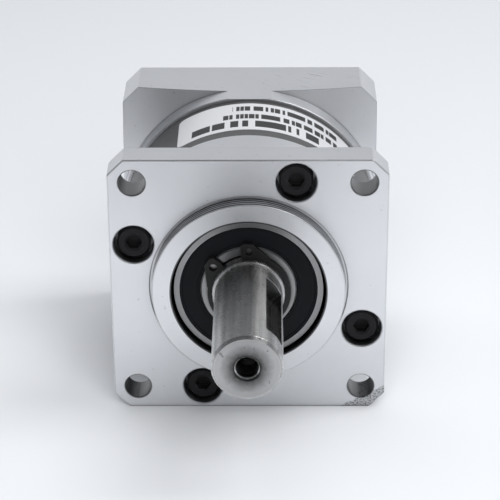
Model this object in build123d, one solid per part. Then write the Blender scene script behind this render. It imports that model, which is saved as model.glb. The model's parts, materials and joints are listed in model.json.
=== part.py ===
from build123d import *
import math
import os

# Single-stage 10:1 planetary gearbox with a 57 mm square output flange and a 56 mm square motor flange.
# Frame: origin on the gear axis at the output flange's mounting face, +Y along the axis towards the
# motor, +Z up. The output shaft points along -Y. All sizes are in millimetres, and every "front" or
# "back" value is a place along Y.

# ---- output flange -------------------------------------------------------------------------------
FLANGE_HALF = 28.6
FLANGE_THICKNESS = 6.7
FLANGE_CHAMFER = 3.3
HOLE_PITCH = 47.14
HOLE_RADIUS = 2.75
EDGE_BREAK = 0.2
BOSS_RADIUS = 20.0
BOSS_HEIGHT = 2.8
BOSS_RELIEF_WIDTH = 0.6
BOSS_RELIEF_DEPTH = 0.3
HUB_RADIUS = 28.0
HUB_BACK = 14.4
BEARING_LIP_RADIUS = 14.6
O_RING_RADIUS = 0.54
O_RING_GROOVE_RADIUS = 21.9
O_RING_MIDDLE = 16.6
O_RING_GROOVE_HALF = 0.75

# ---- cap screws that hold the housing together ----------------------------------------------------
SCREW_CIRCLE_RADIUS = 25.5
SCREW_FIRST_ANGLE = 67.5
SCREW_COUNT = 4
SCREW_RADIUS = 2.0
SCREW_HEAD_RADIUS = 3.5
SCREW_HEAD_HEIGHT = 4.0
SCREW_HEX = 3.0
SCREW_HEX_DEPTH = 2.2
SCREW_RECESS = 1.0
FRONT_COUNTERBORE_RADIUS = 4.2
REAR_COUNTERBORE_RADIUS = 4.0
SCREW_HEAD_RIM = 0.45
SOCKET_MOUTH_SHARE = 0.68
SOCKET_MOUTH_ANGLE = 30.0
CLEARANCE_RADIUS = 2.15
THREAD_FIT = 0.02
FRONT_SCREW_LENGTH = 16.0
REAR_SCREW_LENGTH = 20.0
TAP_RUNOUT = 1.4

# ---- ring gear ------------------------------------------------------------------------------------
RING_RADIUS = 27.7
RING_BACK = 34.4
RING_EDGE = 0.15
SPIGOT_RADIUS = 22.97
COUNTERBORE_SPIGOT_RADIUS = 23.0
RING_TEETH_FRONT = 19.4
RING_TEETH_BACK = 32.4
LABEL_FRONT = 18.1
LABEL_BACK = 32.5
LABEL_ANGLES = (36.5, 123.0)
LABEL_CORNER = 1.5
LABEL_THICKNESS = 0.08

# ---- motor flange ---------------------------------------------------------------------------------
MOTOR_HALF = 28.0
MOTOR_CHAMFER = 3.5
MOTOR_BACK = 53.8
MOTOR_HUB_RADIUS = 28.4
SHOULDER_FRONT = 39.2
SHOULDER_SLOPE = 0.28
MOTOR_PILOT_RADIUS = 19.05
MOTOR_PILOT_DEPTH = 2.5
MOTOR_TAP_RADIUS = 2.1
MOTOR_TAP_DEPTH = 11.5
CLAMP_SPACE_RADIUS = 17.2
CLAMP_SPACE_FRONT = 46.3
CARRIER_SPACE_RADIUS = 20.6
CARRIER_SPACE_BACK = 35.7
INPUT_LIP_RADIUS = 14.0
ACCESS_RADIUS = 2.5

# ---- gear train -----------------------------------------------------------------------------------
MODULE = 0.4
PRESSURE_ANGLE = math.radians(20)
SUN_TEETH = 12
PLANET_TEETH = 48
RING_TEETH = 108
PLANET_COUNT = 3
PLANET_FIRST_ANGLE = 90.0
SUN_SHIFT = 0.3
BACKLASH = 0.03
ADDENDUM = 1.0
DEDENDUM = 1.25
CENTRE_DISTANCE = MODULE * (SUN_TEETH + PLANET_TEETH) / 2
PLANET_FRONT = 23.2
PLANET_BACK = 31.2
PIN_RADIUS = 3.0
BUSH_RADIUS = 4.2
RUNNING_CLEARANCE = 0.03
WASHER_RADIUS = 6.0
WASHER_THICKNESS = 0.5

# ---- output shaft and planet carrier --------------------------------------------------------------
SHAFT_FRONT = -34.4
SHAFT_RADIUS = 7.0
SHAFT_CHAMFER = 0.6
SEAT_RADIUS = 7.5
COLLAR_FRONT = -3.6
COLLAR_CHAMFER = 0.25
KEYWAY_ANGLE = 37.6
KEYWAY_WIDTH = 5.0
KEYWAY_DEPTH = 3.0
KEYWAY_FRONT = -29.3
KEYWAY_BACK = -7.5
KEYWAY_CORNER = 0.4
END_THREAD_RADIUS = 2.1
END_THREAD_DEPTH = 14.0
END_COUNTERSINK_RADIUS = 2.8
CARRIER_RADIUS = 19.5
CARRIER_FRONT = 19.15
CARRIER_DISC_BACK = 22.65
CARRIER_PLATE_FRONT = 31.75
CARRIER_PLATE_BACK = 34.75
CARRIER_PLATE_BORE = 6.0
PILLAR_RADIUS = 3.1
PILLAR_CIRCLE_RADIUS = 16.2
BEARING_SHOULDER_RADIUS = 9.3
SPACER_RADIUS = 9.2
CARRIER_SCREW_RADIUS = 1.5
CARRIER_SCREW_HEAD_RADIUS = 2.9
CARRIER_SCREW_LENGTH = 9.0

# ---- input shaft and clamp ------------------------------------------------------------------------
SUN_FRONT = 22.9
SUN_BACK = 31.6
INPUT_TUBE_RADIUS = 5.2
INPUT_SHOULDER_RADIUS = 11.3
INPUT_SHOULDER_FRONT = 35.9
INPUT_SEAT_RADIUS = 10.0
INPUT_HUB_RADIUS = 7.0
INPUT_BACK = 51.0
INPUT_BORE_RADIUS = 4.0
INPUT_BORE_FRONT = 33.0
INPUT_SLIT_WIDTH = 1.0
INPUT_SLIT_FRONT = 45.25
CLAMP_FRONT = 45.3
CLAMP_BACK = 50.9
CLAMP_RADIUS = 14.5
CLAMP_SLIT = 1.5
CLAMP_SCREW_HEIGHT = 10.8
CLAMP_SCREW_RADIUS = 1.5
CLAMP_SEAT_X = 4.5
CLAMP_SCREW_HEAD_RADIUS = 2.75
CLAMP_SCREW_LENGTH = 11.0
CLAMP_SCREW_HEX = 2.5

# ---- retaining rings ------------------------------------------------------------------------------
SHAFT_CLIP_THICKNESS = 1.0
INPUT_CLIP_THICKNESS = 1.2
CLIP_CLEARANCE = 0.05
CLIP_HOLE_RADIUS = 0.85
CLIP_LUG_RADIUS = 1.75
CLIP_LUG_CORNER = 0.5
CLIP_LUG_SLOPE_ANGLE = 30.0
CLIP_OFFSET = 0.3
SHAFT_CLIP_GROOVE_RADIUS = 7.15
SHAFT_CLIP_OUTER_RADIUS = 8.6
SHAFT_CLIP_LUG_CIRCLE = 9.13
SHAFT_CLIP_LUG_ANGLES = (89.2, 142.5)
INPUT_CLIP_GROOVE_RADIUS = 9.5
INPUT_CLIP_OUTER_RADIUS = 11.2
INPUT_CLIP_LUG_CIRCLE = 10.7
INSIDE_CLIP_GROOVE_RADIUS = 16.85
INSIDE_CLIP_INNER_RADIUS = 14.3
INSIDE_CLIP_LUG_CIRCLE = 14.9
CLIP_LUG_ANGLES = (70.0, 110.0)

# ---- bearings -------------------------------------------------------------------------------------
# Each bearing is described by its place and its standard sizes.
OUTPUT_BEARING = {
    "bore": 7.5, "outside": 16.0, "width": 9.0, "ball": 2.381, "pitch": 11.75, "balls": 9,
    "inner_land": 9.95, "outer_land": 13.6, "seal_seat": 14.3, "chamfer": 0.6,
}
INPUT_BEARING = {
    "bore": 10.0, "outside": 16.0, "width": 7.0, "ball": 1.75, "pitch": 13.0, "balls": 13,
    "inner_land": 11.75, "outer_land": 14.25, "seal_seat": 14.7, "chamfer": 0.3,
}
SEAL_RECESS = 0.25
SEAL_THICKNESS = 0.8
SEAL_RIM = 0.5
SEAL_DISH = 0.15
SEAL_GAP = 0.05
RACE_CLEARANCE = 0.02
FRONT_BEARING_FRONT = -1.35
BEARING_LIP_WIDTH = 2.0
REAR_BEARING_FRONT = FRONT_BEARING_FRONT + OUTPUT_BEARING["width"] + BEARING_LIP_WIDTH
REAR_BEARING_BACK = REAR_BEARING_FRONT + OUTPUT_BEARING["width"]
INPUT_BEARING_FRONT = 36.9
INPUT_BEARING_BACK = INPUT_BEARING_FRONT + INPUT_BEARING["width"]

PAST = 0.5


# ---- basic shapes ---------------------------------------------------------------------------------

def turned(*outline):
    """Solid of revolution about the gear axis from (radius, y) corners."""
    face = make_face(Polyline(*outline, close=True))
    return revolve(face, Axis.Y)


def rod(radius, front, back, x=0.0, z=0.0):
    """Plain round bar along Y."""
    return Pos(x, (front + back) / 2, z) * Rot(90, 0, 0) * Cylinder(radius, back - front)


def tube(outside, bore, front, back, chamfer_size=0.0):
    """Ring along Y, with its two outer corners chamfered."""
    corners = [(bore, front), (outside - chamfer_size, front)]
    if chamfer_size:
        corners += [(outside, front + chamfer_size), (outside, back - chamfer_size)]
    corners += [(outside - chamfer_size, back), (bore, back)]
    return turned(*corners)


def prism(corners, front, back):
    """Straight prism along Y from (x, z) corners."""
    face = make_face(Polyline(*[(x, front, z) for x, z in corners], close=True))
    return extrude(face, amount=back - front, dir=(0, 1, 0))


def cross_bar(radius, left, right, y, z):
    """Plain round bar along X."""
    return Pos((left + right) / 2, y, z) * Rot(0, 90, 0) * Cylinder(radius, right - left)


def polar(radius, angle):
    """(x, z) of a point at this radius and angle in degrees, measured from +X towards +Z."""
    return radius * math.cos(math.radians(angle)), radius * math.sin(math.radians(angle))


def turn(shape, angle):
    """The shape swung about the gear axis by an angle measured from +X towards +Z."""
    return Rot(0, -angle, 0) * shape


def around(radius, first_angle, count):
    """(x, z) places evenly spaced round the gear axis."""
    return [polar(radius, first_angle + step * 360 / count) for step in range(count)]


def square_corners(half):
    """(x, z) places of a square pattern's four corners."""
    return [(sign_x * half, sign_z * half) for sign_x in (-1, 1) for sign_z in (-1, 1)]


def chamfered_square(half, corner):
    """(x, z) corners of a square with its four corners cut off."""
    inner = half - corner
    return [
        (half, -inner), (half, inner), (inner, half), (-inner, half),
        (-half, inner), (-half, -inner), (-inner, -half), (inner, -half),
    ]


def through_hole(radius, front, back, x, z):
    """Cutter for a hole with a broken edge at both ends."""
    cutter = turned(
        (0, front - PAST), (radius + EDGE_BREAK + PAST, front - PAST), (radius, front + EDGE_BREAK),
        (radius, back - EDGE_BREAK), (radius + EDGE_BREAK + PAST, back + PAST), (0, back + PAST),
    )
    return Pos(x, 0, z) * cutter


def blind_hole(radius, mouth, bottom, x, z):
    """Cutter for a hole along Y with a broken edge at its mouth; bottom may lie either way."""
    way = 1 if bottom > mouth else -1
    cutter = turned(
        (0, mouth - way * PAST), (radius + EDGE_BREAK + PAST, mouth - way * PAST),
        (radius, mouth + way * EDGE_BREAK), (radius, bottom), (0, bottom),
    )
    return Pos(x, 0, z) * cutter


def hexagon(across_flats, front, back):
    """Hexagonal prism along Y on the gear axis."""
    corner_radius = across_flats / math.sqrt(3)
    return prism(around(corner_radius, 0, 6), front, back)


def cap_screw(radius, head_radius, head_height, length, hex_size, hex_depth):
    """Socket head cap screw along Y, head face at y = 0, shank towards +Y, socket with a conical mouth."""
    rim = SCREW_HEAD_RIM
    tip = 0.3
    screw = turned(
        (0, 0), (head_radius - rim, 0), (head_radius, rim), (head_radius, head_height),
        (radius, head_height), (radius, head_height + length - tip), (radius - tip, head_height + length),
        (0, head_height + length),
    )
    mouth = SOCKET_MOUTH_SHARE * hex_size
    cone = turned((0, 0), (mouth, 0), (0, mouth * math.tan(math.radians(SOCKET_MOUTH_ANGLE))))
    return screw - hexagon(hex_size, -PAST, hex_depth) - cone


def node(shapes):
    """One node holding one or more separate solids."""
    solids = [solid for shape in shapes for solid in shape.solids()]
    return solids[0] if len(solids) == 1 else Compound(solids)


# ---- gears ----------------------------------------------------------------------------------------

def involute_half_angle(teeth, shift, thinning, radius):
    """Half the angle that a tooth covers at a radius, in radians."""
    pitch_radius = MODULE * teeth / 2
    base_radius = pitch_radius * math.cos(PRESSURE_ANGLE)
    thickness = MODULE * (math.pi / 2 + 2 * shift * math.tan(PRESSURE_ANGLE)) - thinning
    at_pitch = math.tan(PRESSURE_ANGLE) - PRESSURE_ANGLE
    pressure = math.acos(min(1.0, base_radius / radius))
    return thickness / (2 * pitch_radius) + at_pitch - (math.tan(pressure) - pressure)


def gear_face(teeth, shift, thinning, tip_radius, root_radius, first_tooth, y):
    """Flat face with the outline of an external gear, its first tooth at an angle in radians."""
    pitch_radius = MODULE * teeth / 2
    base_radius = pitch_radius * math.cos(PRESSURE_ANGLE)
    flank_start = max(base_radius, root_radius)
    flank_middle = (flank_start + tip_radius) / 2

    def point(radius, angle):
        return radius * math.cos(angle), y, radius * math.sin(angle)

    def half_angle(radius):
        return involute_half_angle(teeth, shift, thinning, radius)

    edges = []
    pitch_angle = 2 * math.pi / teeth
    start_half = half_angle(flank_start)
    for tooth in range(teeth):
        middle = first_tooth + tooth * pitch_angle
        sides = []
        for side in (-1, 1):
            flank = [
                point(radius, middle + side * half_angle(radius))
                for radius in (flank_start, flank_middle, tip_radius)
            ]
            sides.append(flank)
            if root_radius < flank_start:
                root_corner = point(root_radius, middle + side * start_half)
                edges.append(Line(root_corner, flank[0]))
            edges.append(ThreePointArc(*flank))
        edges.append(ThreePointArc(sides[0][2], point(tip_radius, middle), sides[1][2]))
        root_start = middle + start_half
        root_end = middle + pitch_angle - start_half
        edges.append(
            ThreePointArc(
                point(root_radius, root_start),
                point(root_radius, (root_start + root_end) / 2),
                point(root_radius, root_end),
            )
        )
    return make_face(Wire(edges))


def gear_body(front, back, **outline):
    """Straight gear along Y."""
    return extrude(gear_face(y=front, **outline), amount=back - front, dir=(0, 1, 0))


def sun_gear():
    """Sun pinion with its first tooth at angle 0."""
    radius = MODULE * SUN_TEETH / 2
    return gear_body(
        SUN_FRONT, SUN_BACK, teeth=SUN_TEETH, shift=SUN_SHIFT, thinning=BACKLASH,
        tip_radius=radius + MODULE * (ADDENDUM + SUN_SHIFT),
        root_radius=radius - MODULE * (DEDENDUM - SUN_SHIFT), first_tooth=0.0,
    )


def planet_gear(angle):
    """Planet in mesh with the sun, at an angle in degrees round the gear axis."""
    radius = MODULE * PLANET_TEETH / 2
    phase = ((SUN_TEETH + PLANET_TEETH) * math.radians(angle) - math.pi) / PLANET_TEETH
    body = gear_body(
        PLANET_FRONT, PLANET_BACK, teeth=PLANET_TEETH, shift=-SUN_SHIFT, thinning=BACKLASH,
        tip_radius=radius + MODULE * (ADDENDUM - SUN_SHIFT),
        root_radius=radius - MODULE * (DEDENDUM + SUN_SHIFT), first_tooth=phase,
    )
    x, z = polar(CENTRE_DISTANCE, angle)
    return Pos(x, 0, z) * (body - rod(BUSH_RADIUS, PLANET_FRONT - PAST, PLANET_BACK + PAST))


def ring_tooth_space():
    """Cutter with the outline of the ring gear's toothed bore."""
    radius = MODULE * RING_TEETH / 2
    return gear_body(
        RING_TEETH_FRONT - PAST, RING_TEETH_BACK + PAST, teeth=RING_TEETH, shift=-SUN_SHIFT,
        thinning=-BACKLASH, tip_radius=radius + MODULE * (DEDENDUM - SUN_SHIFT),
        root_radius=radius - MODULE * (ADDENDUM + SUN_SHIFT), first_tooth=-math.pi / RING_TEETH,
    )


# ---- retaining rings ------------------------------------------------------------------------------

def outside_lug(inner, outer, lug_circle, angle, side, front, back):
    """Lug of a shaft's retaining ring, square towards the gap and sloping into the ring on its other side."""
    half = CLIP_LUG_RADIUS
    tip = lug_circle + CLIP_LUG_RADIUS
    corner = CLIP_LUG_CORNER
    slope_x, slope_z = polar(outer, CLIP_LUG_SLOPE_ANGLE)
    root_x, root_z = polar(inner, CLIP_LUG_SLOPE_ANGLE)
    outline = [
        (inner, -half), (tip - corner, -half), (tip, corner - half), (tip, half - 2 * corner),
        (tip - corner, half - corner), (slope_x, slope_z), (root_x, root_z),
    ]
    return turn(prism([(x, side * z) for x, z in outline], front, back), angle)


def outside_clip(inner, outer, lug_circle, lug_angles, front, thickness):
    """Retaining ring for a shaft: thickest opposite its gap, with two lugs with plier holes."""
    back = front + thickness
    gap_angle = sum(lug_angles) / 2
    offset_x, offset_z = polar(-CLIP_OFFSET, gap_angle)
    clip = rod(outer, front, back, offset_x, offset_z)
    for angle in lug_angles:
        side = math.copysign(1, angle - gap_angle)
        clip += outside_lug(inner, outer, lug_circle, angle, side, front, back)
    clip -= rod(inner, front - PAST, back + PAST)
    half_gap = abs(lug_angles[0] - lug_angles[1]) / 2 - math.degrees(CLIP_LUG_RADIUS / lug_circle)
    reach = outer + lug_circle
    wedge = [(0, 0), polar(reach, gap_angle - half_gap), polar(reach, gap_angle + half_gap)]
    clip -= prism(wedge, front - PAST, back + PAST)
    for angle in lug_angles:
        clip -= rod(CLIP_HOLE_RADIUS, front - PAST, back + PAST, *polar(lug_circle, angle))
    return clip


def inside_clip(inner, outer, lug_circle, lug_angles, front, thickness):
    """Retaining ring for a bore, with two inward lugs with plier holes."""
    back = front + thickness
    gap_angle = sum(lug_angles) / 2
    offset_x, offset_z = polar(CLIP_OFFSET, gap_angle)
    clip = rod(outer, front, back) - rod(inner, front - PAST, back + PAST, offset_x, offset_z)
    for angle in lug_angles:
        clip += rod(CLIP_LUG_RADIUS, front, back, *polar(lug_circle, angle))
    half_gap = abs(lug_angles[0] - lug_angles[1]) / 2 - math.degrees(CLIP_LUG_RADIUS / lug_circle)
    reach = 2 * outer
    wedge = [(0, 0), polar(reach, gap_angle - half_gap), polar(reach, gap_angle + half_gap)]
    clip -= prism(wedge, front - PAST, back + PAST)
    for angle in lug_angles:
        clip -= rod(CLIP_HOLE_RADIUS, front - PAST, back + PAST, *polar(lug_circle, angle))
    return clip


# ---- bearings -------------------------------------------------------------------------------------

def bearing_seal(face, inward, sizes):
    """Rubber seal with a raised rim and lip round a shallow dish; inward is the way into the bearing."""
    outside = sizes["seal_seat"]
    lip = sizes["inner_land"] + SEAL_GAP
    dish = face + inward * SEAL_DISH
    back = face + inward * SEAL_THICKNESS
    return turned(
        (outside, face), (outside - SEAL_RIM, face), (outside - SEAL_RIM - SEAL_DISH, dish),
        (lip + SEAL_RIM + SEAL_DISH, dish), (lip + SEAL_RIM, face), (lip + SEAL_DISH, face),
        (lip, dish), (lip, back), (outside, back),
    )


def ball_bearing(front, sizes):
    """Sealed deep-groove ball bearing: outer ring, inner ring, balls, cage and two seals."""
    back = front + sizes["width"]
    middle = (front + back) / 2
    edge = sizes["chamfer"]
    seat_depth = SEAL_RECESS + SEAL_THICKNESS
    race = Pos(0, middle, 0) * Rot(90, 0, 0) * Torus(sizes["pitch"], sizes["ball"] + RACE_CLEARANCE)
    outer_ring = turned(
        (sizes["seal_seat"], front), (sizes["outside"] - edge, front), (sizes["outside"], front + edge),
        (sizes["outside"], back - edge), (sizes["outside"] - edge, back), (sizes["seal_seat"], back),
        (sizes["seal_seat"], back - seat_depth), (sizes["outer_land"], back - seat_depth),
        (sizes["outer_land"], front + seat_depth), (sizes["seal_seat"], front + seat_depth),
    ) - race
    inner_ring = turned(
        (sizes["bore"] + edge, front), (sizes["inner_land"] - edge / 2, front),
        (sizes["inner_land"], front + edge / 2), (sizes["inner_land"], back - edge / 2),
        (sizes["inner_land"] - edge / 2, back), (sizes["bore"] + edge, back),
        (sizes["bore"], back - edge), (sizes["bore"], front + edge),
    ) - race
    ball_places = around(sizes["pitch"], 90, sizes["balls"])
    balls = [Pos(x, middle, z) * Sphere(sizes["ball"]) for x, z in ball_places]
    cage_half_width = sizes["width"] / 2 - seat_depth - 0.4
    cage_half_height = (sizes["outer_land"] - sizes["inner_land"]) / 4
    cage = tube(
        sizes["pitch"] + cage_half_height, sizes["pitch"] - cage_half_height,
        middle - cage_half_width, middle + cage_half_width,
    )
    pocket = cross_bar(sizes["ball"] + 2 * RACE_CLEARANCE, sizes["bore"], sizes["outside"], middle, 0)
    for ball in range(sizes["balls"]):
        cage -= turn(pocket, 90 + ball * 360 / sizes["balls"])
    seals = [bearing_seal(front + SEAL_RECESS, 1, sizes), bearing_seal(back - SEAL_RECESS, -1, sizes)]
    return {
        "outer_ring": outer_ring,
        "inner_ring": inner_ring,
        "balls": node(balls),
        "cage": cage,
        "seals": node(seals),
    }


# ---- housing --------------------------------------------------------------------------------------

def front_flange():
    """Square output flange with its pilot boss, bearing bore, round hub and spigot."""
    plate = prism(chamfered_square(FLANGE_HALF, FLANGE_CHAMFER), 0, FLANGE_THICKNESS)
    plate = chamfer(plate.edges(), EDGE_BREAK)
    bore = OUTPUT_BEARING["outside"]
    core = turned(
        (bore, -BOSS_HEIGHT), (BOSS_RADIUS - EDGE_BREAK, -BOSS_HEIGHT),
        (BOSS_RADIUS, -BOSS_HEIGHT + EDGE_BREAK), (BOSS_RADIUS, EDGE_BREAK),
        (HUB_RADIUS, FLANGE_THICKNESS - EDGE_BREAK), (HUB_RADIUS, HUB_BACK), (SPIGOT_RADIUS, HUB_BACK),
        (SPIGOT_RADIUS, REAR_BEARING_BACK), (bore, REAR_BEARING_BACK),
    )
    lip_front = REAR_BEARING_FRONT - BEARING_LIP_WIDTH
    flange = plate - rod(bore, -PAST, FLANGE_THICKNESS + PAST) + core
    flange += tube(bore + PAST, BEARING_LIP_RADIUS, lip_front, REAR_BEARING_FRONT)
    flange -= tube(BOSS_RADIUS + BOSS_RELIEF_WIDTH, BOSS_RADIUS, -PAST, BOSS_RELIEF_DEPTH)
    flange -= o_ring_groove()
    for x, z in square_corners(HOLE_PITCH / 2):
        flange -= through_hole(HOLE_RADIUS, 0, FLANGE_THICKNESS, x, z)
    seat = SCREW_RECESS + SCREW_HEAD_HEIGHT
    for x, z in around(SCREW_CIRCLE_RADIUS, SCREW_FIRST_ANGLE, SCREW_COUNT):
        flange -= blind_hole(FRONT_COUNTERBORE_RADIUS, 0, seat, x, z)
        flange -= rod(CLEARANCE_RADIUS, 0, HUB_BACK + PAST, x, z)
    return flange


def o_ring_groove():
    """Groove round the flange's spigot."""
    front = O_RING_MIDDLE - O_RING_GROOVE_HALF
    back = O_RING_MIDDLE + O_RING_GROOVE_HALF
    return tube(SPIGOT_RADIUS + PAST, O_RING_GROOVE_RADIUS, front, back)


def front_o_ring():
    """Rubber ring that seals the flange's spigot in the ring gear."""
    middle_radius = (O_RING_GROOVE_RADIUS + COUNTERBORE_SPIGOT_RADIUS) / 2
    return Pos(0, O_RING_MIDDLE, 0) * Rot(90, 0, 0) * Torus(middle_radius, O_RING_RADIUS)


def ring_gear():
    """Steel ring gear that is also the middle of the housing."""
    ring = tube(RING_RADIUS, COUNTERBORE_SPIGOT_RADIUS, HUB_BACK, RING_BACK, RING_EDGE)
    toothed = tube(COUNTERBORE_SPIGOT_RADIUS + PAST, 0.5 * RING_RADIUS, RING_TEETH_FRONT, RING_TEETH_BACK)
    ring += toothed - ring_tooth_space()
    for x, z in around(SCREW_CIRCLE_RADIUS, SCREW_FIRST_ANGLE, SCREW_COUNT):
        front_reach = SCREW_RECESS + SCREW_HEAD_HEIGHT + FRONT_SCREW_LENGTH + TAP_RUNOUT
        rear_reach = MOTOR_BACK - SCREW_RECESS - SCREW_HEAD_HEIGHT - REAR_SCREW_LENGTH - TAP_RUNOUT
        ring -= rod(SCREW_RADIUS, HUB_BACK - PAST, front_reach, x, z)
        ring -= rod(SCREW_RADIUS, rear_reach, RING_BACK + PAST, x, z)
    return ring


def motor_flange():
    """Square motor flange turned down to a round hub in front, hollow for the bearing and clamp."""
    block = prism(chamfered_square(MOTOR_HALF, MOTOR_CHAMFER), RING_BACK - PAST, MOTOR_BACK)
    block = chamfer(block.edges(), EDGE_BREAK)
    corner_radius = MOTOR_HALF * math.sqrt(2)
    shoulder_back = SHOULDER_FRONT + SHOULDER_SLOPE * (corner_radius - MOTOR_HUB_RADIUS)
    envelope = turned(
        (CARRIER_SPACE_RADIUS, RING_BACK), (MOTOR_HUB_RADIUS - EDGE_BREAK, RING_BACK),
        (MOTOR_HUB_RADIUS, RING_BACK + EDGE_BREAK), (MOTOR_HUB_RADIUS, SHOULDER_FRONT),
        (corner_radius, shoulder_back), (corner_radius, MOTOR_BACK + PAST),
        (INPUT_LIP_RADIUS, MOTOR_BACK + PAST), (INPUT_LIP_RADIUS, CARRIER_SPACE_BACK),
        (CARRIER_SPACE_RADIUS, CARRIER_SPACE_BACK),
    )
    flange = block & envelope
    flange += tube(SPIGOT_RADIUS, CARRIER_SPACE_RADIUS, RING_TEETH_BACK + EDGE_BREAK, RING_BACK)
    clip_back = INPUT_BEARING_BACK + INPUT_CLIP_THICKNESS + CLIP_CLEARANCE
    flange -= rod(INPUT_BEARING["outside"], INPUT_BEARING_FRONT, CLAMP_SPACE_FRONT + PAST)
    flange -= rod(INSIDE_CLIP_GROOVE_RADIUS, INPUT_BEARING_BACK, clip_back)
    flange -= rod(CLAMP_SPACE_RADIUS, CLAMP_SPACE_FRONT, MOTOR_BACK)
    flange -= blind_hole(MOTOR_PILOT_RADIUS, MOTOR_BACK, MOTOR_BACK - MOTOR_PILOT_DEPTH, 0, 0)
    for x, z in square_corners(HOLE_PITCH / 2):
        flange -= blind_hole(MOTOR_TAP_RADIUS, MOTOR_BACK, MOTOR_BACK - MOTOR_TAP_DEPTH, x, z)
    seat = MOTOR_BACK - SCREW_RECESS - SCREW_HEAD_HEIGHT
    for x, z in around(SCREW_CIRCLE_RADIUS, SCREW_FIRST_ANGLE, SCREW_COUNT):
        flange -= blind_hole(REAR_COUNTERBORE_RADIUS, MOTOR_BACK, seat, x, z)
        flange -= rod(CLEARANCE_RADIUS, RING_BACK - PAST, MOTOR_BACK, x, z)
    flange -= cross_bar(ACCESS_RADIUS, 0, MOTOR_HALF + PAST, clamp_middle(), CLAMP_SCREW_HEIGHT)
    return flange


def clamp_middle():
    """Where along the axis the clamp's screw crosses."""
    return (CLAMP_FRONT + CLAMP_BACK) / 2


def housing_screws(head_face, length, way):
    """Ring of cap screws whose heads face -Y (way 1) or +Y (way -1)."""
    screw = cap_screw(
        SCREW_RADIUS - THREAD_FIT, SCREW_HEAD_RADIUS, SCREW_HEAD_HEIGHT, length, SCREW_HEX, SCREW_HEX_DEPTH
    )
    if way < 0:
        screw = Rot(180, 0, 0) * screw
    places = around(SCREW_CIRCLE_RADIUS, SCREW_FIRST_ANGLE, SCREW_COUNT)
    return node([Pos(x, head_face, z) * screw for x, z in places])


def access_plug():
    """Slotted plug that closes the hole over the clamp screw."""
    length = 6.0
    slot_depth = 1.2
    slot_width = 0.8
    outer_end = MOTOR_HALF - EDGE_BREAK
    radius = ACCESS_RADIUS - THREAD_FIT
    plug = cross_bar(radius, outer_end - length, outer_end, clamp_middle(), CLAMP_SCREW_HEIGHT)
    slot = Pos(outer_end, clamp_middle(), CLAMP_SCREW_HEIGHT) * Box(2 * slot_depth, 2 * radius, slot_width)
    return plug - slot


def label():
    """Thin foil label wrapped over the top of the ring gear, with rounded corners."""
    sheet = tube(RING_RADIUS + LABEL_THICKNESS, RING_RADIUS, LABEL_FRONT, LABEL_BACK)
    wedge = [(0, 0)] + [polar(2 * RING_RADIUS, angle) for angle in LABEL_ANGLES]
    sheet &= prism(wedge, LABEL_FRONT - PAST, LABEL_BACK + PAST)
    corners = sheet.edges().filter_by(lambda edge: edge.length < 2 * LABEL_THICKNESS)
    return fillet(corners, LABEL_CORNER)


# ---- output ---------------------------------------------------------------------------------------

def output_shaft():
    """Output shaft, its bearing seat and the front half of the planet carrier, in one piece.

    The round faces start and end along the middle of the keyway.
    """
    groove_front = FRONT_BEARING_FRONT - SHAFT_CLIP_THICKNESS - CLIP_CLEARANCE
    shaft = turned(
        (0, SHAFT_FRONT), (SHAFT_RADIUS - SHAFT_CHAMFER, SHAFT_FRONT),
        (SHAFT_RADIUS, SHAFT_FRONT + SHAFT_CHAMFER), (SHAFT_RADIUS, COLLAR_FRONT),
        (SEAT_RADIUS - COLLAR_CHAMFER, COLLAR_FRONT), (SEAT_RADIUS, COLLAR_FRONT + COLLAR_CHAMFER),
        (SEAT_RADIUS, groove_front), (SHAFT_CLIP_GROOVE_RADIUS, groove_front),
        (SHAFT_CLIP_GROOVE_RADIUS, FRONT_BEARING_FRONT), (SEAT_RADIUS, FRONT_BEARING_FRONT),
        (SEAT_RADIUS, REAR_BEARING_BACK), (BEARING_SHOULDER_RADIUS, REAR_BEARING_BACK),
        (BEARING_SHOULDER_RADIUS, CARRIER_FRONT), (CARRIER_RADIUS, CARRIER_FRONT),
        (CARRIER_RADIUS, CARRIER_DISC_BACK), (0, CARRIER_DISC_BACK),
    )
    shaft = turn(shaft, KEYWAY_ANGLE)
    for x, z in pillar_places():
        shaft += rod(PILLAR_RADIUS, CARRIER_DISC_BACK - PAST, CARRIER_PLATE_FRONT, x, z)
        shaft -= rod(CARRIER_SCREW_RADIUS, CARRIER_DISC_BACK, CARRIER_PLATE_FRONT + PAST, x, z)
    for x, z in planet_places():
        shaft -= rod(PIN_RADIUS, CARRIER_FRONT - PAST, CARRIER_DISC_BACK + PAST, x, z)
    shaft -= rod(END_THREAD_RADIUS, SHAFT_FRONT - PAST, SHAFT_FRONT + END_THREAD_DEPTH)
    countersink_depth = END_COUNTERSINK_RADIUS - END_THREAD_RADIUS
    shaft -= turned(
        (0, SHAFT_FRONT - PAST), (END_COUNTERSINK_RADIUS + PAST, SHAFT_FRONT - PAST),
        (END_THREAD_RADIUS, SHAFT_FRONT + countersink_depth), (0, SHAFT_FRONT + countersink_depth),
    )
    return shaft - keyway()


def keyway():
    """Cutter for the closed keyway, squared at both ends."""
    length = KEYWAY_BACK - KEYWAY_FRONT
    floor = SHAFT_RADIUS - KEYWAY_DEPTH
    slot = Box(2 * KEYWAY_DEPTH, length, KEYWAY_WIDTH)
    slot = fillet(slot.edges().filter_by(Axis.X), KEYWAY_CORNER)
    slot = Pos(floor + KEYWAY_DEPTH, (KEYWAY_FRONT + KEYWAY_BACK) / 2, 0) * slot
    return turn(slot, KEYWAY_ANGLE)


def planet_places():
    """(x, z) of the planets' axes."""
    return around(CENTRE_DISTANCE, PLANET_FIRST_ANGLE, PLANET_COUNT)


def pillar_places():
    """(x, z) of the carrier's pillars, between the planets."""
    return around(PILLAR_CIRCLE_RADIUS, PLANET_FIRST_ANGLE + 180 / PLANET_COUNT, PLANET_COUNT)


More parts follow.
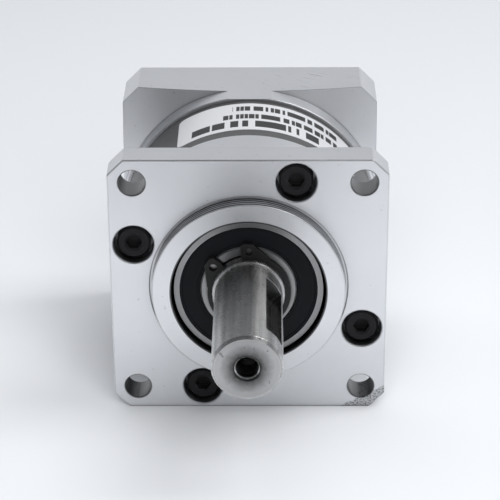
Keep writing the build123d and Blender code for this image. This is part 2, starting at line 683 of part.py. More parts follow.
def countersunk_shape(radius, head_radius, length):
    """Countersunk screw along Y, head face at y = 0, shank towards -Y."""
    cone = head_radius - radius
    return turned((0, 0), (head_radius, 0), (radius, -cone), (radius, -length), (0, -length))


def carrier_plate():
    """Rear plate of the planet carrier, screwed to the pillars."""
    plate = tube(CARRIER_RADIUS, CARRIER_PLATE_BORE, CARRIER_PLATE_FRONT, CARRIER_PLATE_BACK, EDGE_BREAK)
    for x, z in planet_places():
        plate -= rod(PIN_RADIUS, CARRIER_PLATE_FRONT - PAST, CARRIER_PLATE_BACK + PAST, x, z)
    cutter = countersunk_shape(CARRIER_SCREW_RADIUS, CARRIER_SCREW_HEAD_RADIUS, CARRIER_SCREW_LENGTH)
    for x, z in pillar_places():
        plate -= Pos(x, CARRIER_PLATE_BACK, z) * cutter
    return plate


def carrier_screws():
    """Countersunk screws that close the carrier."""
    screw = countersunk_shape(
        CARRIER_SCREW_RADIUS - THREAD_FIT, CARRIER_SCREW_HEAD_RADIUS - THREAD_FIT, CARRIER_SCREW_LENGTH
    )
    screw -= hexagon(2.0, -1.2, PAST)
    return node([Pos(x, CARRIER_PLATE_BACK, z) * screw for x, z in pillar_places()])


def planet_pins():
    """Hardened pins that carry the planets."""
    short = 0.25
    return node([
        tube(PIN_RADIUS, 0, CARRIER_FRONT + short, CARRIER_PLATE_BACK - short, EDGE_BREAK).moved(Pos(x, 0, z))
        for x, z in planet_places()
    ])


def planet_washers():
    """Thrust washers on both sides of each planet."""
    washers = []
    for front in (CARRIER_DISC_BACK, CARRIER_PLATE_FRONT - WASHER_THICKNESS):
        washer = tube(WASHER_RADIUS, PIN_RADIUS + RUNNING_CLEARANCE, front, front + WASHER_THICKNESS)
        washers += [Pos(x, 0, z) * washer for x, z in planet_places()]
    return node(washers)


def planet_bush(x, z):
    """Bronze bush pressed into a planet, running on its pin."""
    return Pos(x, 0, z) * tube(BUSH_RADIUS, PIN_RADIUS + RUNNING_CLEARANCE, PLANET_FRONT, PLANET_BACK)


def shaft_clip():
    """Retaining ring in front of the front bearing's inner ring."""
    return outside_clip(
        SHAFT_CLIP_GROOVE_RADIUS, SHAFT_CLIP_OUTER_RADIUS, SHAFT_CLIP_LUG_CIRCLE, SHAFT_CLIP_LUG_ANGLES,
        FRONT_BEARING_FRONT - SHAFT_CLIP_THICKNESS, SHAFT_CLIP_THICKNESS,
    )


def bearing_spacer():
    """Tube between the two output bearings' inner rings."""
    return tube(SPACER_RADIUS, SEAT_RADIUS, REAR_BEARING_FRONT - BEARING_LIP_WIDTH, REAR_BEARING_FRONT)


# ---- input ----------------------------------------------------------------------------------------

def input_shaft():
    """Sun pinion and hollow slit hub in one piece."""
    groove_back = INPUT_BEARING_BACK + INPUT_CLIP_THICKNESS + CLIP_CLEARANCE
    shaft = turned(
        (0, SUN_BACK), (INPUT_TUBE_RADIUS, SUN_BACK), (INPUT_TUBE_RADIUS, INPUT_SHOULDER_FRONT),
        (INPUT_SHOULDER_RADIUS, INPUT_SHOULDER_FRONT), (INPUT_SHOULDER_RADIUS, INPUT_BEARING_FRONT),
        (INPUT_SEAT_RADIUS, INPUT_BEARING_FRONT), (INPUT_SEAT_RADIUS, INPUT_BEARING_BACK),
        (INPUT_CLIP_GROOVE_RADIUS, INPUT_BEARING_BACK), (INPUT_CLIP_GROOVE_RADIUS, groove_back),
        (INPUT_SEAT_RADIUS, groove_back), (INPUT_SEAT_RADIUS, INPUT_SLIT_FRONT),
        (INPUT_HUB_RADIUS, INPUT_SLIT_FRONT), (INPUT_HUB_RADIUS, INPUT_BACK), (0, INPUT_BACK),
    )
    shaft += sun_gear()
    shaft -= blind_hole(INPUT_BORE_RADIUS, INPUT_BACK, INPUT_BORE_FRONT, 0, 0)
    middle = (INPUT_SLIT_FRONT + INPUT_BACK) / 2 + PAST
    length = INPUT_BACK - INPUT_SLIT_FRONT
    for angle in (0, 90):
        slit = Box(INPUT_SLIT_WIDTH, length, 2 * INPUT_SEAT_RADIUS)
        shaft -= turn(Pos(0, middle, 0) * slit, angle)
    return shaft


def clamp_collar():
    """Split collar that squeezes the slit hub onto the motor's shaft."""
    y = clamp_middle()
    collar = tube(CLAMP_RADIUS, INPUT_HUB_RADIUS + THREAD_FIT, CLAMP_FRONT, CLAMP_BACK, EDGE_BREAK)
    collar -= Pos(0, y, CLAMP_RADIUS) * Box(CLAMP_SLIT, 2 * CLAMP_RADIUS, 2 * CLAMP_RADIUS)
    pocket = Box(CLAMP_RADIUS, 2 * CLAMP_RADIUS, 2 * (CLAMP_SCREW_HEAD_RADIUS + 4 * THREAD_FIT))
    collar -= Pos(CLAMP_SEAT_X + CLAMP_RADIUS / 2, y, CLAMP_SCREW_HEIGHT) * pocket
    return collar - cross_bar(CLAMP_SCREW_RADIUS, -CLAMP_RADIUS, CLAMP_RADIUS, y, CLAMP_SCREW_HEIGHT)


def clamp_screw():
    """Cap screw across the collar's slit, its head under the access hole."""
    head_height = 2 * CLAMP_SCREW_RADIUS
    screw = cap_screw(
        CLAMP_SCREW_RADIUS - THREAD_FIT, CLAMP_SCREW_HEAD_RADIUS, head_height, CLAMP_SCREW_LENGTH,
        CLAMP_SCREW_HEX, head_height / 2,
    )
    place = Pos(CLAMP_SEAT_X + head_height, clamp_middle(), CLAMP_SCREW_HEIGHT)
    return place * Rot(0, 0, 90) * screw


def input_clip():
    """Retaining ring behind the input bearing's inner ring."""
    return outside_clip(
        INPUT_CLIP_GROOVE_RADIUS, INPUT_CLIP_OUTER_RADIUS, INPUT_CLIP_LUG_CIRCLE, CLIP_LUG_ANGLES,
        INPUT_BEARING_BACK, INPUT_CLIP_THICKNESS,
    )


def bore_clip():
    """Retaining ring behind the input bearing's outer ring."""
    return inside_clip(
        INSIDE_CLIP_INNER_RADIUS, INSIDE_CLIP_GROOVE_RADIUS, INSIDE_CLIP_LUG_CIRCLE, CLIP_LUG_ANGLES,
        INPUT_BEARING_BACK, INPUT_CLIP_THICKNESS,
    )


# ---- all nodes ------------------------------------------------------------------------------------

def all_nodes():
    """Every node's name and shape."""
    rear_head_face = MOTOR_BACK - SCREW_RECESS
    nodes = {
        "front_flange": front_flange(),
        "ring_gear": ring_gear(),
        "motor_flange": motor_flange(),
        "front_screws": housing_screws(SCREW_RECESS, FRONT_SCREW_LENGTH, 1),
        "rear_screws": housing_screws(rear_head_face, REAR_SCREW_LENGTH, -1),
        "front_o_ring": front_o_ring(),
        "access_plug": access_plug(),
        "label_plate": label(),
        "input_bearing_bore_clip": bore_clip(),
        "output_shaft": output_shaft(),
        "shaft_clip": shaft_clip(),
        "bearing_spacer": bearing_spacer(),
        "carrier_plate": carrier_plate(),
        "carrier_screws": carrier_screws(),
        "planet_pins": planet_pins(),
        "planet_washers": planet_washers(),
        "input_shaft": input_shaft(),
        "input_shaft_clip": input_clip(),
        "clamp_collar": clamp_collar(),
        "clamp_screw": clamp_screw(),
    }
    for index, (x, z) in enumerate(planet_places(), start=1):
        angle = PLANET_FIRST_ANGLE + (index - 1) * 360 / PLANET_COUNT
        nodes[f"planet_gear_{index}"] = planet_gear(angle)
        nodes[f"planet_bush_{index}"] = planet_bush(x, z)
    bearings = {
        "front_bearing": (FRONT_BEARING_FRONT, OUTPUT_BEARING),
        "rear_bearing": (REAR_BEARING_FRONT, OUTPUT_BEARING),
        "input_bearing": (INPUT_BEARING_FRONT, INPUT_BEARING),
    }
    for bearing, (front, sizes) in bearings.items():
        for piece, shape in ball_bearing(front, sizes).items():
            nodes[f"{bearing}_{piece}"] = shape
    return nodes


def main():
    """Write one STEP file for each node."""
    os.makedirs("parts", exist_ok=True)
    for name, shape in all_nodes().items():
        export_step(shape, f"parts/{name}.step")


main()
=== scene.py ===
import json
import math

import bpy
from mathutils import Matrix, Vector


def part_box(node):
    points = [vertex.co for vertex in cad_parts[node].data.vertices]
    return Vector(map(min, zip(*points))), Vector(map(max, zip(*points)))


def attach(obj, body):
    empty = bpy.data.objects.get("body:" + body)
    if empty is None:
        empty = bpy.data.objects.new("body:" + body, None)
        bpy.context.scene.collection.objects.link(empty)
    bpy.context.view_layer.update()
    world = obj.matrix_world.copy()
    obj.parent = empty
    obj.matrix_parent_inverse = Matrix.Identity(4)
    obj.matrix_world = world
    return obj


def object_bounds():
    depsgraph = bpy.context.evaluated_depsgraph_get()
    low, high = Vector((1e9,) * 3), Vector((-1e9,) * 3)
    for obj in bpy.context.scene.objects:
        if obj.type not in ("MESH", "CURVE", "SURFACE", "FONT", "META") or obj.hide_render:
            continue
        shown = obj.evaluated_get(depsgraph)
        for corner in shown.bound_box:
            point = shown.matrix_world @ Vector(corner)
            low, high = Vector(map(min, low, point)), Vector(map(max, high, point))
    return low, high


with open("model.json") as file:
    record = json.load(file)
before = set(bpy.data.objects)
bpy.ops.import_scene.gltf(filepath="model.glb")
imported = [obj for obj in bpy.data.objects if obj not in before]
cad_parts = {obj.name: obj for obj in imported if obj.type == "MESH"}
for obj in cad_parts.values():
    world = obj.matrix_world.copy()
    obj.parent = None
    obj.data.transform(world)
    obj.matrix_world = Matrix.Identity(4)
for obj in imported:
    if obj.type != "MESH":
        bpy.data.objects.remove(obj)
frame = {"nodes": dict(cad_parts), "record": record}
cad_low, cad_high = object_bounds()

MM = 0.001

# Camera: where it stands, how it is turned in degrees, and its lens.
CAMERA_PLACE = Vector((4.41, -371.88, 190.56)) * MM
CAMERA_YAW = 0.63
CAMERA_PITCH = 26.08
CAMERA_ROLL = -0.35
CAMERA_LENS = 145.3
CAMERA_SENSOR = 36.0
CAMERA_REACH = (0.01, 10.0)

# Sizes of the gearbox that its materials follow.
PLATE_BACK = 7.0 * MM
PLATE_CORNER = 28.6 * MM
CORNER_HOLE_PLACE = 23.57 * MM
CORNER_HOLE_REACH = 2.9 * MM
BOSS_RADIUS = 20.0 * MM
BOSS_WALL_BACK = 0.5 * MM
BEARING_RADIUS = 16.0 * MM
BEARING_CORNER = 0.53 * MM
# Painted shadow ring round the bearing's bore: its middle lies this far out from the bore.
BORE_SHADOW_OFFSET = 0.3 * MM
MOTOR_TOP = 27.9 * MM
MOTOR_TOP_FRONT = 36.0 * MM
SHAFT_END_DEPTH = 0.3 * MM
END_HOLE_RADIUS = 2.25 * MM
KEYWAY_RADIUS = 6.88 * MM
KEYWAY_FRONT = -29.4 * MM
KEYWAY_BACK = -7.4 * MM

# Screw thread in the shaft's end.
THREAD_CREST = 1.93 * MM
THREAD_ROOT = 2.12 * MM
THREAD_HALF_WIDTH = 0.36
THREAD_PITCH = 0.8 * MM
THREAD_FRONT = -33.55 * MM
THREAD_TURNS = 13
THREAD_STEPS = 48

# Label rows: middle and width as shares of the label's length, first and last angle, bars per radian.
LABEL_ROWS = (
    (0.22, 0.23, 0.86, 2.02, 17.0),
    (0.50, 0.17, 0.83, 1.77, 30.0),
    (0.80, 0.17, 0.83, 1.70, 30.0),
)

FLOOR_SIZE = 3.0
COOL = (0.985, 0.995, 1.02)
WARM = (1.0, 0.985, 0.97)
BLUISH = (0.9, 1.0, 1.3)
FLOOR_TINT = (0.98, 1.0, 1.03)
WORLD_TINT = (0.965, 0.985, 1.02, 1.0)


def grey(value, tint=(1.0, 1.0, 1.0)):
    """A colour of one brightness, slightly tinted."""
    return (value * tint[0], value * tint[1], value * tint[2], 1.0)


# ---- node helpers ---------------------------------------------------------------------------------

class Nodes:
    """A node tree, with short calls for the nodes that this scene uses."""

    def __init__(self, tree):
        self.tree = tree
        self.place = self.node("ShaderNodeTexCoord").outputs["Object"]

    def node(self, kind, **settings):
        made = self.tree.nodes.new(kind)
        for key, value in settings.items():
            setattr(made, key, value)
        return made

    def link(self, source, target):
        self.tree.links.new(source, target)

    def feed(self, socket, value):
        """Links a socket, or sets a plain value."""
        if isinstance(value, bpy.types.NodeSocket):
            self.link(value, socket)
        else:
            socket.default_value = value

    def math(self, operation, *values):
        made = self.node("ShaderNodeMath", operation=operation)
        for socket, value in zip(made.inputs, values):
            self.feed(socket, value)
        return made.outputs[0]

    def plus(self, first, second):
        return self.math("ADD", first, second)

    def minus(self, first, second):
        return self.math("SUBTRACT", first, second)

    def times(self, first, second):
        return self.math("MULTIPLY", first, second)

    def above(self, value, limit):
        return self.math("GREATER_THAN", value, limit)

    def below(self, value, limit):
        return self.math("LESS_THAN", value, limit)

    def between(self, value, low, high):
        return self.times(self.above(value, low), self.below(value, high))

    def vector(self, *parts):
        made = self.node("ShaderNodeCombineXYZ")
        for socket, part in zip(made.inputs, parts):
            self.feed(socket, part)
        return made.outputs[0]

    def scaled(self, scale, source=None):
        """A place, stretched by a scale on each axis."""
        made = self.node("ShaderNodeVectorMath", operation="MULTIPLY")
        self.link(source or self.place, made.inputs[0])
        made.inputs[1].default_value = scale
        return made.outputs[0]

    def axes(self, source=None):
        made = self.node("ShaderNodeSeparateXYZ")
        self.link(source or self.place, made.inputs[0])
        return made.outputs

    def round_axis(self):
        """Distance from the gear axis, place along it, and angle round it."""
        x, y, z = self.axes()
        radius = self.math("SQRT", self.plus(self.times(x, x), self.times(z, z)))
        return radius, y, self.math("ARCTAN2", z, x)

    def ring_place(self):
        """Distance from the gear axis, place along it, and angle round it, as one vector."""
        return self.vector(*self.round_axis())

    def noise(self, vector, scale, detail=3.0):
        made = self.node("ShaderNodeTexNoise")
        self.link(vector, made.inputs["Vector"])
        made.inputs["Scale"].default_value = scale
        made.inputs["Detail"].default_value = detail
        return made.outputs["Fac"]

    def grain(self, scale, detail=3.0):
        """Noise that is alike in every direction."""
        return self.noise(self.place, scale, detail)

    def ring_grain(self, scale, detail=3.0):
        """Noise stretched by a scale across, along and round the gear axis."""
        return self.noise(self.scaled(scale, self.ring_place()), 1, detail)

    def spread(self, value, low, high, from_low=0.0, from_high=1.0):
        """Turns one range of values into another, and stays within it."""
        made = self.node("ShaderNodeMapRange", clamp=True)
        self.feed(made.inputs["Value"], value)
        made.inputs["From Min"].default_value = from_low
        made.inputs["From Max"].default_value = from_high
        made.inputs["To Min"].default_value = low
        made.inputs["To Max"].default_value = high
        return made.outputs["Result"]

    def mix(self, factor, first, second):
        made = self.node("ShaderNodeMix", data_type="RGBA")
        self.feed(made.inputs["Factor"], factor)
        self.feed(made.inputs["A"], first)
        self.feed(made.inputs["B"], second)
        return made.outputs["Result"]

    def rounded_normal(self, radius):
        made = self.node("ShaderNodeBevel", samples=6)
        made.inputs["Radius"].default_value = radius
        return made.outputs["Normal"]

    def edge(self, radius):
        """1 on edges within a radius, 0 on flat stretches."""
        geometry = self.node("ShaderNodeNewGeometry")
        dot = self.node("ShaderNodeVectorMath", operation="DOT_PRODUCT")
        self.link(self.rounded_normal(radius), dot.inputs[0])
        self.link(geometry.outputs["Normal"], dot.inputs[1])
        return self.spread(dot.outputs["Value"], 1.0, 0.0, 0.90, 0.998)


class Shader(Nodes):
    """One procedural material."""

    def __init__(self, name):
        self.material = bpy.data.materials.new(name)
        self.material.use_nodes = True
        super().__init__(self.material.node_tree)
        self.bsdf = self.tree.nodes["Principled BSDF"]

    def set(self, **values):
        """Sets or links the shader's own sockets, such as base_color or roughness."""
        for key, value in values.items():
            socket = self.bsdf.inputs[key.replace("_", " ").title().replace("Ior", "IOR")]
            self.feed(socket, value)

    def bump(self, height, strength, distance, radius=0.0):
        """Bump from a height, over edges rounded to a radius."""
        made = self.node("ShaderNodeBump")
        made.inputs["Strength"].default_value = strength
        made.inputs["Distance"].default_value = distance
        self.link(height, made.inputs["Height"])
        if radius:
            self.link(self.rounded_normal(radius), made.inputs["Normal"])
        self.link(made.outputs["Normal"], self.bsdf.inputs["Normal"])

    def turned_grain(self, amount):
        """Stretches the gloss across grooves that run round the gear axis."""
        tangent = self.node("ShaderNodeTangent", direction_type="RADIAL", axis="Y")
        self.link(tangent.outputs["Tangent"], self.bsdf.inputs["Tangent"])
        self.set(anisotropic=amount, anisotropic_rotation=0.25)

    def crevice_shade(self, reach):
        """Mask for painted shade: 1 deep in corners and gaps narrower than the reach, 0 on open
        surfaces.
        """
        gap_shade = self.node("ShaderNodeAmbientOcclusion", samples=8)
        gap_shade.inputs["Distance"].default_value = reach
        return self.spread(gap_shade.outputs["AO"], 1.0, 0.0, 0.25, 0.85)

    def faces_along(self):
        """1 where the surface looks along the gear axis, 0 where it looks away from it."""
        geometry = self.node("ShaderNodeNewGeometry")
        facing = self.math("ABSOLUTE", self.axes(geometry.outputs["True Normal"])[1])
        return self.spread(facing, 0.0, 1.0, 0.6, 0.9)


# ---- places on the aluminium ----------------------------------------------------------------------

def boss_wall(s):
    """1 on the round wall of the pilot boss."""
    radius, along, _ = s.round_axis()
    near = s.math("COMPARE", radius, BOSS_RADIUS, 0.45 * MM)
    return s.times(near, s.below(along, BOSS_WALL_BACK))


def turned_groove_shade(s):
    """Painted shade: dark lines where shade falls in grooves that run round the gear axis and waver a
    little.
    """
    along = s.round_axis()[1]
    waver = s.times(s.ring_grain((0, 900, 0.6), 2), 2.0)
    turns = s.math("SINE", s.plus(s.times(along, 7600.0), waver))
    return s.spread(turns, 0.0, 1.0, 0.05, 0.35)


def bore_shadow_ring(s):
    """Painted shadow: a dark ring round the front bearing's bore, where its edge and wall fall in
    shade.
    """
    radius, along, _ = s.round_axis()
    middle = BEARING_RADIUS + BORE_SHADOW_OFFSET
    shadowed = s.spread(radius, 0.9, 0.0, middle - 0.06 * MM, middle + 0.06 * MM)
    return s.times(shadowed, s.below(along, 0.0))


def corner_hole_shade(s):
    """Painted shade on the drilled walls of the front flange's four corner holes."""
    x, y, z = s.axes()
    across = s.minus(s.math("ABSOLUTE", x), CORNER_HOLE_PLACE)
    upwards = s.minus(s.math("ABSOLUTE", z), CORNER_HOLE_PLACE)
    from_hole = s.plus(s.times(across, across), s.times(upwards, upwards))
    return s.times(s.below(from_hole, CORNER_HOLE_REACH ** 2), s.below(y, PLATE_BACK))


def scuffed_corner(s):
    """Ragged scuffs on the lower right corner of the front flange."""
    x, y, z = s.axes()
    from_start = s.times(s.minus(x, 18.9 * MM), 0.54)
    slanted = s.minus(from_start, s.plus(z, PLATE_CORNER))
    ragged = s.spread(s.grain(900), -0.7 * MM, 0.7 * MM)
    patch = s.spread(s.plus(slanted, ragged), 0.0, 1.0, -0.1 * MM, 0.3 * MM)
    patch = s.times(patch, s.below(y, PLATE_BACK))
    speckle = s.noise(s.scaled((2200, 2200, 4200)), 1)
    return s.times(patch, s.spread(speckle, 0.28, 0.95, 0.48, 0.58))


def hairlines(s):
    """Hairline scratches on the right of the motor flange's top."""
    x, y, z = s.axes()
    across = s.times(s.plus(y, s.times(x, 0.55)), 3200.0)
    along = s.times(s.minus(x, s.times(y, 0.55)), 130.0)
    hairs = s.spread(s.noise(s.vector(across, along), 1, 1), 0.0, 1.0, 0.70, 0.74)
    region = s.times(s.above(z, MOTOR_TOP), s.spread(x, 0.0, 1.0, 2 * MM, 9 * MM))
    return s.times(hairs, s.times(region, s.above(y, MOTOR_TOP_FRONT)))


# ---- materials ------------------------------------------------------------------------------------

def aluminium():
    """Bare machined aluminium: turned faces, fine grain, small specks and some wear, with a painted
    dark reflection along its edges and painted shade in its gaps and corners, the boss's turned
    grooves, its corner holes and round the bearing's bore.
    """
    s = Shader("machined_aluminium")
    cloud = s.grain(45, 4)
    grain = s.grain(5200, 2)
    tooling = s.ring_grain((9000, 500, 6))
    specks = s.spread(s.grain(900, 2), 0.0, 1.0, 0.70, 0.74)
    tone = s.mix(s.spread(cloud, 0.0, 1.0, 0.3, 0.7), grey(0.78, COOL), grey(0.86, COOL))
    tone = s.mix(s.times(specks, 0.35), tone, grey(0.45))
    # Painted dark reflection along the machined edges.
    tone = s.mix(s.times(s.edge(0.24 * MM), 0.8), tone, grey(0.22, COOL))
    on_wall = boss_wall(s)
    # Painted shade in gaps and corners, weaker on the boss's wall.
    gap_shade = s.times(s.crevice_shade(1.2 * MM), s.spread(on_wall, 0.75, 0.0))
    tone = s.mix(gap_shade, tone, grey(0.10))
    # Painted shade in the turned grooves of the boss's wall.
    tone = s.mix(s.times(on_wall, turned_groove_shade(s)), tone, grey(0.04))
    # Painted shadow round the front bearing's bore.
    tone = s.mix(bore_shadow_ring(s), tone, grey(0.03))
    # Painted shade inside the corner holes.
    tone = s.mix(s.times(corner_hole_shade(s), 0.9), tone, grey(0.20))
    tone = s.mix(scuffed_corner(s), tone, grey(0.14))
    tone = s.mix(s.times(hairlines(s), 0.8), tone, grey(0.15))
    rough = s.plus(s.spread(cloud, 0.36, 0.46, 0.3, 0.7), s.spread(grain, -0.04, 0.04))
    s.set(base_color=tone, metallic=1.0, roughness=rough)
    s.turned_grain(s.times(s.faces_along(), 0.85))
    s.bump(s.plus(grain, tooling), 0.12, 0.02 * MM, 0.10 * MM)
    return s.material


def dark_ring_steel():
    """Dark turned steel of the ring gear's outside."""
    s = Shader("dark_ring_steel")
    turned = s.ring_grain((300, 9000, 30))
    tone = s.mix(s.grain(120, 4), grey(0.125), grey(0.175))
    # Painted highlight along the edges.
    tone = s.mix(s.times(s.edge(0.2 * MM), 0.6), tone, grey(0.4))
    s.set(base_color=tone, metallic=0.75, roughness=s.spread(turned, 0.38, 0.52))
    s.bump(turned, 0.15, 0.02 * MM, 0.1 * MM)
    return s.material


def shaft_steel():
    """Ground shaft steel: fine rings, nicks, painted highlights on its edges, painted shade in its
    keyway, its threaded end hole and its corners, and a rougher end that is darker round its middle.
    """
    s = Shader("ground_shaft_steel")
    radius, along, _ = s.round_axis()
    rings = s.ring_grain((2500, 12000, 12))
    cloud = s.grain(160, 4)
    on_end = s.below(along, cad_low.y + SHAFT_END_DEPTH)
    streaks = s.spread(s.ring_grain((0, 25, 5)), 0.0, 1.0, 0.40, 0.62)
    streaks = s.math("MAXIMUM", streaks, on_end)
    nicks = s.spread(s.noise(s.scaled((900, 2600, 700)), 1, 2), 0.0, 1.0, 0.68, 0.72)
    tone = s.mix(streaks, grey(0.42), grey(0.64, (1.0, 0.99, 0.98)))
    tone = s.mix(on_end, tone, s.mix(cloud, grey(0.36), grey(0.48)))
    tone = s.mix(s.times(nicks, 0.6), tone, grey(0.12))
    # Painted highlight along the shaft's outer edges.
    edge_highlight = s.times(s.edge(0.2 * MM), s.above(radius, 3.0 * MM))
    tone = s.mix(s.times(edge_highlight, 0.8), tone, grey(0.85))
    # Darker, mottled ring round the middle of the end face.
    blotch = s.spread(s.grain(700), -0.6 * MM, 0.6 * MM)
    darker_to_middle = s.spread(s.plus(radius, blotch), 1.0, 0.0, 2.7 * MM, 5.4 * MM)
    tone = s.mix(s.times(on_end, darker_to_middle), tone, grey(0.07, WARM))
    # Painted shade inside the threaded hole in the shaft's end.
    tone = s.mix(s.below(radius, END_HOLE_RADIUS), tone, grey(0.05))
    # Painted shade in the keyway.
    keyway_shade = s.times(s.below(radius, KEYWAY_RADIUS), s.between(along, KEYWAY_FRONT, KEYWAY_BACK))
    tone = s.mix(keyway_shade, tone, grey(0.24))
    # Painted shade in gaps and corners.
    tone = s.mix(s.times(s.crevice_shade(0.8 * MM), 0.5), tone, grey(0.12))
    rough = s.plus(s.spread(rings, 0.24, 0.32), s.spread(cloud, -0.03, 0.03))
    s.set(base_color=tone, metallic=1.0, roughness=s.plus(rough, s.times(on_end, 0.10)))
    s.turned_grain(s.spread(s.faces_along(), 0.95, 0.8))
    s.bump(rings, 0.10, 0.01 * MM, 0.12 * MM)
    return s.material


def bearing_steel():
    """Ground bearing steel, with turned rings on its faces, a painted highlight on its edges and
    painted shade in its gaps and on its outer corner.
    """
    s = Shader("bearing_steel")
    rings = s.ring_grain((16000, 9000, 8))
    tone = s.mix(s.grain(300), grey(0.24), grey(0.31))
    # Painted highlight along the edges.
    tone = s.mix(s.times(s.edge(0.15 * MM), 0.5), tone, grey(0.7))
    # Painted shade in gaps and corners.
    tone = s.mix(s.crevice_shade(0.9 * MM), tone, grey(0.05))
    radius = s.round_axis()[0]
    middle = BEARING_RADIUS - BEARING_CORNER
    # Painted shade on the outer ring's outer corner.
    corner = s.spread(radius, 0.0, 0.95, middle - 0.05 * MM, middle + 0.05 * MM)
    tone = s.mix(corner, tone, grey(0.02))
    s.set(base_color=tone, metallic=1.0, roughness=s.spread(rings, 0.22, 0.38))
    s.turned_grain(0.7)
    s.bump(rings, 0.12, 0.01 * MM)
    return s.material


def gear_steel():
    """Cut and hardened gear steel, slightly oily."""
    s = Shader("gear_steel")
    cut = s.noise(s.scaled((900, 5000, 900)), 1)
    tone = s.mix(s.grain(220, 4), grey(0.32, (1.0, 0.98, 0.95)), grey(0.45))
    # Painted highlight along the edges.
    tone = s.mix(s.edge(0.1 * MM), tone, grey(0.7))
    s.set(base_color=tone, metallic=1.0, roughness=s.spread(cut, 0.24, 0.42))
    s.bump(cut, 0.15, 0.01 * MM)
    return s.material


def black_oxide():
    """Black oxide on alloy screws, with a painted highlight along its edges."""
    s = Shader("black_oxide")
    tint = (1.0, 0.97, 1.08)
    cloud = s.grain(700, 4)
    tone = s.mix(cloud, grey(0.006, tint), grey(0.013, tint))
    # Painted highlight along the edges.
    tone = s.mix(s.times(s.edge(0.12 * MM), 0.6), tone, grey(0.09))
    s.set(base_color=tone, metallic=0.2, roughness=s.spread(cloud, 0.36, 0.56), specular_ior_level=0.22)
    s.bump(s.plus(s.grain(6000, 2), s.grain(1600, 2)), 0.5, 0.03 * MM)
    return s.material


def spring_steel():
    """Phosphated spring steel of the retaining rings."""
    s = Shader("phosphated_spring_steel")
    cloud = s.grain(900, 4)
    tone = s.mix(cloud, grey(0.007), grey(0.015))
    # Painted highlight along the edges.
    tone = s.mix(s.times(s.edge(0.1 * MM), 0.5), tone, grey(0.12))
    s.set(base_color=tone, metallic=0.4, roughness=s.spread(cloud, 0.38, 0.55))
    s.bump(cloud, 0.15, 0.01 * MM)
    return s.material


def rubber():
    """Moulded black rubber, with faint rings from the mould."""
    s = Shader("seal_rubber")
    grain = s.grain(3500)
    tone = s.mix(grain, grey(0.003, BLUISH), grey(0.007, BLUISH))
    s.set(base_color=tone, roughness=s.spread(grain, 0.45, 0.60), specular_ior_level=0.15)
    s.bump(s.plus(s.ring_grain((5000, 2000, 3), 2), grain), 0.25, 0.02 * MM)
    return s.material


def bronze():
    """Sintered bronze with open pores."""
    s = Shader("sintered_bronze")
    pores = s.grain(4000)
    tone = s.mix(pores, (0.42, 0.27, 0.12, 1.0), (0.68, 0.46, 0.22, 1.0))
    s.set(base_color=tone, metallic=1.0, roughness=s.spread(pores, 0.3, 0.5))
    s.bump(pores, 0.2, 0.01 * MM)
    return s.material


def nylon():
    """Moulded cage nylon."""
    s = Shader("cage_nylon")
    grain = s.grain(2500)
    tone = s.mix(grain, (0.42, 0.34, 0.17, 1.0), (0.55, 0.46, 0.26, 1.0))
    s.set(base_color=tone, roughness=s.spread(grain, 0.40, 0.55))
    s.bump(grain, 0.1, 0.02 * MM)
    return s.material


def plug_plastic():
    """Black moulded plastic of the access plug."""
    s = Shader("plug_plastic")
    grain = s.grain(3000)
    s.set(base_color=s.mix(grain, grey(0.012), grey(0.022)), roughness=s.spread(grain, 0.40, 0.52))
    s.bump(grain, 0.15, 0.02 * MM)
    return s.material


def label_foil():
    """Silver-white label foil with generic printed bars in place of any words."""
    s = Shader("label_foil")
    low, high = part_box("label_plate")
    length = high.y - low.y
    _, along, angle = s.round_axis()
    ink = 0.0
    for middle, width, start, end, pace in LABEL_ROWS:
        from_middle = s.math("ABSOLUTE", s.minus(along, low.y + middle * length))
        row = s.below(from_middle, width * length / 2)
        cells = s.vector(s.times(angle, pace), middle * 40)
        bars = s.above(s.noise(cells, 1, 0), 0.44)
        printed = s.times(s.times(row, s.between(angle, start, end)), bars)
        ink = s.math("MAXIMUM", ink, printed)
    grain = s.grain(2600)
    paper = s.mix(grain, grey(0.71, COOL), grey(0.77, COOL))
    tone = s.mix(ink, paper, grey(0.02))
    s.set(base_color=tone, metallic=0.25, roughness=s.spread(grain, 0.38, 0.46))
    s.bump(grain, 0.05, 0.01 * MM)
    return s.material


MAKERS = {
    "aluminium": aluminium,
    "ring_steel": dark_ring_steel,
    "shaft_steel": shaft_steel,
    "bearing_steel": bearing_steel,
    "gear_steel": gear_steel,
    "black_screw": black_oxide,
    "clip_steel": spring_steel,
    "rubber": rubber,
    "bronze": bronze,
    "cage_nylon": nylon,
    "label_foil": label_foil,
    "plug_plastic": plug_plastic,
}


def paint_frame():
    """Gives every CAD node the material of its slot."""
    made = {slot: maker() for slot, maker in MAKERS.items()}
    for row in frame["record"]["subparts"]:
        piece = frame["nodes"][row["node"]]
        piece.data.materials.clear()
        piece.data.materials.append(made[row["material_slot"]])


# ---- pieces the CAD leaves smooth -----------------------------------------------------------------

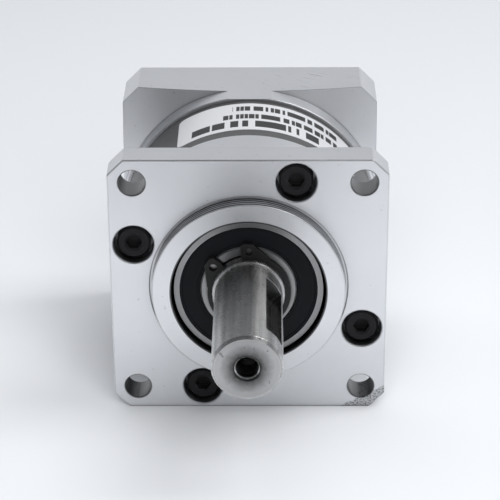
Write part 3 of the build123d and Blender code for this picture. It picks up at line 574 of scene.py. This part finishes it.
def end_thread():
    """Screw thread in the shaft's end: one helical ridge, three corners across."""
    corners = ((THREAD_ROOT, -THREAD_HALF_WIDTH), (THREAD_CREST, 0.0), (THREAD_ROOT, THREAD_HALF_WIDTH))
    points = []
    for step in range(THREAD_TURNS * THREAD_STEPS + 1):
        turned = step / THREAD_STEPS
        angle = 2 * math.pi * turned
        for radius, lean in corners:
            y = THREAD_FRONT + (turned + lean + 0.5) * THREAD_PITCH
            points.append((radius * math.cos(angle), y, radius * math.sin(angle)))
    count = len(corners)
    last = len(points) - count
    faces = [(0, 1, 2), (last + 2, last + 1, last)]
    for row in range(0, last, count):
        for corner in range(count):
            beside = (corner + 1) % count
            faces.append((row + corner, row + count + corner, row + count + beside, row + beside))
    mesh = bpy.data.meshes.new("end_thread")
    mesh.from_pydata(points, [], faces)
    mesh.update()
    piece = bpy.data.objects.new("end_thread", mesh)
    bpy.context.collection.objects.link(piece)
    piece.data.materials.append(frame["nodes"]["output_shaft"].data.materials[0])
    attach(piece, "output")


# ---- stage ----------------------------------------------------------------------------------------

def floor():
    """Plain pale floor under the flanges, darkened further in front by painted shade that stands for
    the darker room there.
    """
    bpy.ops.mesh.primitive_plane_add(size=FLOOR_SIZE, location=(0, 0, cad_low.z))
    plane = bpy.context.object
    plane.name = "floor"
    s = Shader("pale_floor")
    pale = s.mix(s.grain(6, 2), grey(0.80, FLOOR_TINT), grey(0.82, FLOOR_TINT))
    # Painted shade: the floor's colour darkens towards the front.
    front_shade = s.spread(s.axes()[1], 1.0, 0.0, -1.1, -0.5)
    s.set(base_color=s.mix(front_shade, pale, grey(0.22)), roughness=0.9, specular_ior_level=0.1)
    plane.data.materials.append(s.material)


def soft_light(name, place, target, size, power, seen=True):
    """Soft box that faces a point. One that isn't seen lights the scene but shows in no reflection."""
    data = bpy.data.lights.new(name, "AREA")
    data.shape = "RECTANGLE"
    data.size, data.size_y = size
    data.energy = power
    lamp = bpy.data.objects.new(name, data)
    lamp.visible_glossy = seen
    lamp.location = place
    way = Vector(target) - Vector(place)
    lamp.rotation_mode = "QUATERNION"
    lamp.rotation_quaternion = way.to_track_quat("-Z", "Y")
    bpy.context.collection.objects.link(lamp)


def studio():
    """Pale wall behind, brightest at the horizon, and a darker room in front, darkest on the left."""
    world = bpy.data.worlds.new("studio")
    world.use_nodes = True
    bpy.context.scene.world = world
    s = Nodes(world.node_tree)
    x, y, z = s.axes(s.node("ShaderNodeTexCoord").outputs["Generated"])
    wall = s.spread(z, 0.84, 0.52, 0.0, 0.55)
    room = s.times(s.spread(x, 0.24, 0.46, -0.6, 0.6), s.spread(z, 1.0, 0.40, 0.10, 0.60))
    behind = s.spread(y, 0.0, 1.0, -0.25, 0.35)
    level = s.plus(s.times(wall, behind), s.times(room, s.minus(1.0, behind)))
    background = world.node_tree.nodes["Background"]
    s.link(level, background.inputs["Strength"])
    background.inputs["Color"].default_value = WORLD_TINT


def lights():
    """Soft boxes from the right, from above and from the front; only the first shows in the metal."""
    soft_light("right_box", (0.47, 0.06, 0.72), (0, 0, 0), (0.30, 0.5), 2.7)
    soft_light("top_box", (-0.05, 0.20, 0.9), (0, -0.05, 0), (0.8, 0.8), 1.9, seen=False)
    soft_light("front_box", (0.08, -0.55, 0.5), (0, -0.10, 0), (0.6, 0.5), 3.8, seen=False)


def camera():
    """Camera at the reference view."""
    yaw, pitch, roll = (math.radians(angle) for angle in (CAMERA_YAW, CAMERA_PITCH, CAMERA_ROLL))
    level_right = Vector((math.cos(yaw), math.sin(yaw), 0))
    level_ahead = Vector((-math.sin(yaw), math.cos(yaw), 0))
    up = Vector((0, 0, 1))
    ahead = level_ahead * math.cos(pitch) - up * math.sin(pitch)
    above = up * math.cos(pitch) + level_ahead * math.sin(pitch)
    right = level_right * math.cos(roll) + above * math.sin(roll)
    above = above * math.cos(roll) - level_right * math.sin(roll)
    data = bpy.data.cameras.new("camera")
    data.lens = CAMERA_LENS
    data.sensor_width = CAMERA_SENSOR
    data.clip_start, data.clip_end = CAMERA_REACH
    eye = bpy.data.objects.new("camera", data)
    turn = Matrix((right, above, -ahead)).transposed().to_4x4()
    eye.matrix_world = Matrix.Translation(CAMERA_PLACE) @ turn
    bpy.context.collection.objects.link(eye)
    bpy.context.scene.camera = eye


bpy.context.scene.view_settings.view_transform = "Standard"
camera()
paint_frame()
end_thread()
floor()
studio()
lights()
